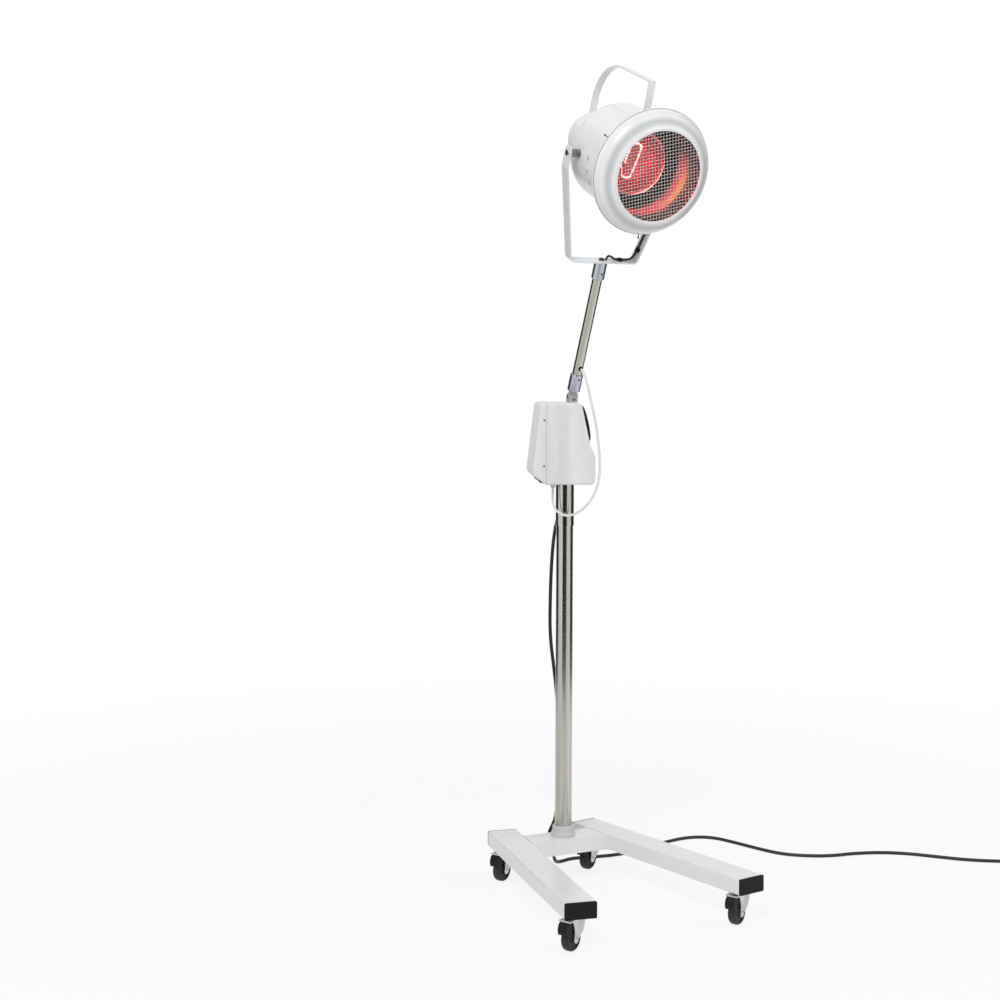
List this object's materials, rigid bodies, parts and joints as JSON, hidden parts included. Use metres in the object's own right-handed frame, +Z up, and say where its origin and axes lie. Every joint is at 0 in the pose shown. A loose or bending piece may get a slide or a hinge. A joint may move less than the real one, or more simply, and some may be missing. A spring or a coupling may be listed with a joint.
{
  "type": "infrared heat therapy lamp on a mobile stand",
  "caption": "Floor-standing infrared heat lamp: round caged head in a tilting yoke, hinged arm, timer box on a chromed mast, splayed U base on swivel casters.",
  "frame": {"origin": "on the floor, on the mast's axis", "axes": "+Z up; -Y from the mast towards the open front of the base, where the head looks; +X to the right rail"},
  "size_m": [1.2226, 0.6568, 1.6018],
  "materials": {
    "rail_paint": "gloss white powder coat",
    "cap_black": "moulded, fine texture",
    "zinc": "zinc plated",
    "wheel_black": "moulded",
    "chrome": "polished",
    "shell_plastic": "satin moulded",
    "dial_black": "moulded, fluted rim",
    "plate_grey": "satin with printed scale",
    "switch_black": "moulded",
    "inner_grey": "moulded",
    "hinge_grey": "satin casting",
    "steel": "turned",
    "screw_black": "blackened",
    "head_paint": "gloss white enamel",
    "yoke_paint": "gloss white enamel",
    "guard_wire": "bright wire",
    "reflector": "polished",
    "bulb_red": "red filter glass with a mirrored back",
    "lamp_cap": "rolled thread",
    "lampholder_white": "glazed",
    "cord_black": "matt sheath",
    "cord_white": "matt sheath",
    "plug_black": "moulded",
    "pin_brass": "nickel plated"
  },
  "bodies": {
    "stand": {"left_rail": "rail_paint", "right_rail": "rail_paint", "cross_tube": "rail_paint", "rail_end_caps": "cap_black", "caster_stems": "zinc", "mast_tube": "chrome", "mast_socket": "cap_black", "mast_sleeve": "chrome", "rear_shell": "shell_plastic", "front_shell": "shell_plastic", "shell_screws": "steel", "mast_clamp": "inner_grey", "timer_module": "inner_grey", "dial_plate": "plate_grey", "switch_frame": "switch_black", "lead_gland": "cap_black", "flex_gland": "cord_white", "hinge_base": "hinge_grey", "hinge_pin": "steel", "mains_lead": "cord_black", "lead_tail": "cord_black", "lead_coil": "cord_black", "plug_body": "plug_black", "plug_pins": "pin_brass", "flex_cable": "cord_white"},
    "arm": {"arm_knuckle": "hinge_grey", "lower_sleeve": "chrome", "arm_tube": "chrome", "upper_sleeve": "chrome", "grommet": "cord_white", "arm_screws": "steel"},
    "yoke": {"yoke_strap": "yoke_paint", "cable_clips": "zinc", "pivot_spacers": "cap_black", "pivot_screws": "steel", "yoke_cable": "cord_black"},
    "head": {"drum": "head_paint", "rear_cap": "head_paint", "front_ring": "head_paint", "mesh": "guard_wire", "reflector_liner": "reflector", "bulb_glass": "bulb_red", "bulb_screw_cap": "lamp_cap", "lampholder": "lampholder_white", "handle": "head_paint", "head_screws": "steel"},
    "timer_dial": {"timer_dial": "dial_black"},
    "rocker": {"rocker": "switch_black"},
    "front_left_fork": {"front_left_fork": "zinc", "front_left_hood": "cap_black"},
    "front_left_wheel": {"front_left_wheel": "wheel_black"},
    "front_right_fork": {"front_right_fork": "zinc", "front_right_hood": "cap_black"},
    "front_right_wheel": {"front_right_wheel": "wheel_black"},
    "rear_left_fork": {"rear_left_fork": "zinc", "rear_left_hood": "cap_black"},
    "rear_left_wheel": {"rear_left_wheel": "wheel_black"},
    "rear_right_fork": {"rear_right_fork": "zinc", "rear_right_hood": "cap_black"},
    "rear_right_wheel": {"rear_right_wheel": "wheel_black"}
  },
  "joints": [
    {"name": "arm_tilt", "type": "hinge", "parent": "stand", "child": "arm", "pos_m": [0.0126, -0.00484, 0.965], "axis": [1, 0, 0], "range_deg": [-43, 36], "deforming": ["flex_cable"]},
    {"name": "yoke_swivel", "type": "hinge", "parent": "arm", "child": "yoke", "pos_m": [0.0126, -0.12008, 1.23003], "axis": [0, -0.3987, 0.9171], "range_deg": [-90, 90]},
    {"name": "head_tilt", "type": "hinge", "parent": "yoke", "child": "head", "pos_m": [0.0126, -0.20541, 1.42628], "axis": [1, 0, 0], "range_deg": [-50, 45]},
    {"name": "dial_turn", "type": "hinge", "parent": "stand", "child": "timer_dial", "pos_m": [0.03224, -0.01237, 0.9105], "axis": [0.9132, -0.3505, 0.2079], "range_deg": [-300, 0]},
    {"name": "rocker_tilt", "type": "hinge", "parent": "stand", "child": "rocker", "pos_m": [-0.04836, 0.01857, 0.80198], "axis": [0.3584, 0.9336, 0], "range_deg": [-14, 0]},
    {"name": "front_left_swivel", "type": "hinge", "parent": "stand", "child": "front_left_fork", "pos_m": [-0.17364, -0.37226, 0.06], "axis": [0, 0, 1], "continuous": true},
    {"name": "front_left_roll", "type": "hinge", "parent": "front_left_fork", "child": "front_left_wheel", "pos_m": [-0.18688, -0.3793, 0.022], "axis": [-0.4695, 0.8829, 0], "continuous": true},
    {"name": "front_right_swivel", "type": "hinge", "parent": "stand", "child": "front_right_fork", "pos_m": [0.17364, -0.37226, 0.06], "axis": [0, 0, 1], "continuous": true},
    {"name": "front_right_roll", "type": "hinge", "parent": "front_right_fork", "child": "front_right_wheel", "pos_m": [0.1604, -0.3793, 0.022], "axis": [-0.4695, 0.8829, 0], "continuous": true},
    {"name": "rear_left_swivel", "type": "hinge", "parent": "stand", "child": "rear_left_fork", "pos_m": [-0.09775, 0.0581, 0.06], "axis": [0, 0, 1], "continuous": true},
    {"name": "rear_left_roll", "type": "hinge", "parent": "rear_left_fork", "child": "rear_left_wheel", "pos_m": [-0.111, 0.05106, 0.022], "axis": [-0.4695, 0.8829, 0], "continuous": true},
    {"name": "rear_right_swivel", "type": "hinge", "parent": "stand", "child": "rear_right_fork", "pos_m": [0.09775, 0.0581, 0.06], "axis": [0, 0, 1], "continuous": true},
    {"name": "rear_right_roll", "type": "hinge", "parent": "rear_right_fork", "child": "rear_right_wheel", "pos_m": [0.08451, 0.05106, 0.022], "axis": [-0.4695, 0.8829, 0], "continuous": true}
  ]
}
